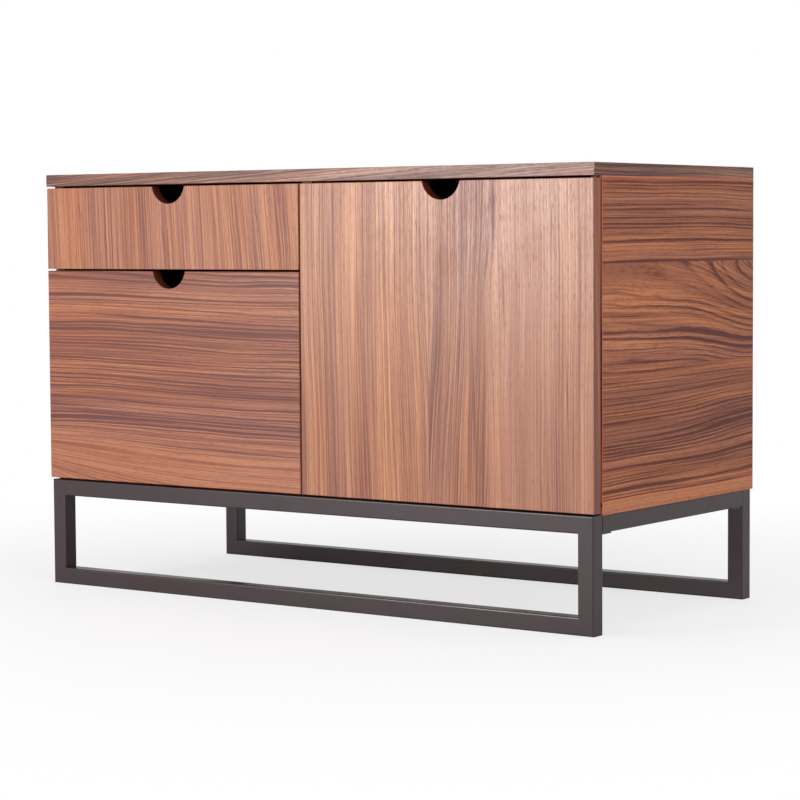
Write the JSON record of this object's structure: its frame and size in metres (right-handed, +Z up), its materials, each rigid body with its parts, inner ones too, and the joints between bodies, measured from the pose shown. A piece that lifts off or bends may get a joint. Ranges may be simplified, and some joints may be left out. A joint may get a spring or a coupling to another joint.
{
  "type": "office credenza",
  "caption": "Low office credenza on a square-tube frame: a shallow drawer over a deep drawer beside a hinged door, all with half-round finger notches.",
  "frame": {"origin": "on the floor, at the middle of the cabinet's width and depth", "axes": "+X to the right along the front, +Y to the back, +Z up"},
  "size_m": [1, 0.45, 0.64],
  "materials": {
    "walnut_top": "open-pore walnut veneer, satin lacquer",
    "walnut_carcass": "walnut veneer, grain lying, satin lacquer",
    "walnut_door": "walnut veneer, grain upright, satin lacquer",
    "walnut_upper_front": "walnut veneer, grain upright, satin lacquer",
    "walnut_lower_front": "walnut veneer, grain lying, satin lacquer",
    "walnut_inner": "walnut veneer, satin lacquer",
    "back_board": "thin veneered back panel",
    "drawer_wood": "birch drawer sides, clear lacquer",
    "bronze_frame": "dark bronze powder coat, satin",
    "black_screws": "black oxide",
    "nickel_steel": "nickel plated",
    "zinc_steel": "bright zinc plated",
    "retainer_plastic": "black nylon",
    "beech": "plain beech",
    "soft_pad": "clear soft pad"
  },
  "bodies": {
    "cabinet": {"top_panel": "walnut_top", "bottom_panel": "walnut_carcass", "left_side_panel": "walnut_carcass", "right_side_panel": "walnut_carcass", "centre_divider": "walnut_inner", "back_panel": "back_board", "cam_fittings": "nickel_steel", "cam_bolts": "nickel_steel", "dowels": "beech", "shelf": "walnut_inner", "shelf_pins": "nickel_steel", "left_side_rail": "bronze_frame", "right_side_rail": "bronze_frame", "frame_tabs": "bronze_frame", "frame_screws": "black_screws", "hinge_arms": "nickel_steel", "hinge_pivot_pins": "nickel_steel", "hinge_plates": "nickel_steel", "cabinet_screws": "nickel_steel", "front_left_post": "bronze_frame", "front_right_post": "bronze_frame", "front_top_rail": "bronze_frame", "front_bottom_rail": "bronze_frame", "rear_left_post": "bronze_frame", "rear_right_post": "bronze_frame", "rear_top_rail": "bronze_frame", "rear_bottom_rail": "bronze_frame", "upper_slide_cabinet_members": "zinc_steel", "lower_slide_cabinet_members": "zinc_steel"},
    "upper_slide_outer_retainer": {"upper_slide_outer_retainers": "retainer_plastic"},
    "upper_slide_middle": {"upper_slide_middle_members": "zinc_steel"},
    "upper_slide_inner_retainer": {"upper_slide_inner_retainers": "retainer_plastic"},
    "upper_drawer": {"upper_drawer_front": "walnut_upper_front", "upper_drawer_left_side": "drawer_wood", "upper_drawer_right_side": "drawer_wood", "upper_drawer_inner_front": "drawer_wood", "upper_drawer_back": "drawer_wood", "upper_drawer_base": "drawer_wood", "upper_drawer_screws": "nickel_steel", "upper_slide_drawer_members": "zinc_steel"},
    "lower_slide_outer_retainer": {"lower_slide_outer_retainers": "retainer_plastic"},
    "lower_slide_middle": {"lower_slide_middle_members": "zinc_steel"},
    "lower_slide_inner_retainer": {"lower_slide_inner_retainers": "retainer_plastic"},
    "lower_drawer": {"lower_drawer_front": "walnut_lower_front", "lower_drawer_left_side": "drawer_wood", "lower_drawer_right_side": "drawer_wood", "lower_drawer_inner_front": "drawer_wood", "lower_drawer_back": "drawer_wood", "lower_drawer_base": "drawer_wood", "lower_drawer_screws": "nickel_steel", "lower_slide_drawer_members": "zinc_steel"},
    "door": {"door": "walnut_door", "door_buffers": "soft_pad", "hinge_cups": "nickel_steel", "hinge_cup_screws": "nickel_steel"},
    "outer_links": {"hinge_outer_links": "nickel_steel"},
    "inner_links": {"hinge_inner_links": "nickel_steel"}
  },
  "joints": [
    {"name": "upper_drawer_slide", "type": "slide", "parent": "cabinet", "child": "upper_drawer", "axis": [0, -1, 0], "range_m": [0, 0.4]},
    {"name": "upper_outer_retainer_slide", "type": "slide", "parent": "cabinet", "child": "upper_slide_outer_retainer", "axis": [0, -1, 0], "range_m": [0, 0.1]},
    {"name": "upper_middle_member_slide", "type": "slide", "parent": "cabinet", "child": "upper_slide_middle", "axis": [0, -1, 0], "range_m": [0, 0.2]},
    {"name": "upper_inner_retainer_slide", "type": "slide", "parent": "cabinet", "child": "upper_slide_inner_retainer", "axis": [0, -1, 0], "range_m": [0, 0.3]},
    {"name": "lower_drawer_slide", "type": "slide", "parent": "cabinet", "child": "lower_drawer", "axis": [0, -1, 0], "range_m": [0, 0.4]},
    {"name": "lower_outer_retainer_slide", "type": "slide", "parent": "cabinet", "child": "lower_slide_outer_retainer", "axis": [0, -1, 0], "range_m": [0, 0.1]},
    {"name": "lower_middle_member_slide", "type": "slide", "parent": "cabinet", "child": "lower_slide_middle", "axis": [0, -1, 0], "range_m": [0, 0.2]},
    {"name": "lower_inner_retainer_slide", "type": "slide", "parent": "cabinet", "child": "lower_slide_inner_retainer", "axis": [0, -1, 0], "range_m": [0, 0.3]},
    {"name": "door_hinge", "type": "hinge", "parent": "cabinet", "child": "door", "pos_m": [0.4924, -0.218, 0.393], "axis": [0, 0, 1], "range_deg": [0, 95]},
    {"name": "outer_link_pivot", "type": "hinge", "parent": "cabinet", "child": "outer_links", "pos_m": [0.465, -0.1955, 0.393], "axis": [0, 0, 1], "range_deg": [-18.18, 0]},
    {"name": "inner_link_pivot", "type": "hinge", "parent": "cabinet", "child": "inner_links", "pos_m": [0.461, -0.2017, 0.393], "axis": [0, 0, 1], "range_deg": [-10.34, 0]}
  ],
  "couplings": [
    {"joint": "upper_outer_retainer_slide", "follows": "upper_drawer_slide", "ratio": 0.25},
    {"joint": "upper_middle_member_slide", "follows": "upper_drawer_slide", "ratio": 0.5},
    {"joint": "upper_inner_retainer_slide", "follows": "upper_drawer_slide", "ratio": 0.75},
    {"joint": "lower_outer_retainer_slide", "follows": "lower_drawer_slide", "ratio": 0.25},
    {"joint": "lower_middle_member_slide", "follows": "lower_drawer_slide", "ratio": 0.5},
    {"joint": "lower_inner_retainer_slide", "follows": "lower_drawer_slide", "ratio": 0.75},
    {"joint": "outer_link_pivot", "follows": "door_hinge", "ratio": -0.1913},
    {"joint": "inner_link_pivot", "follows": "door_hinge", "ratio": -0.1088}
  ]
}
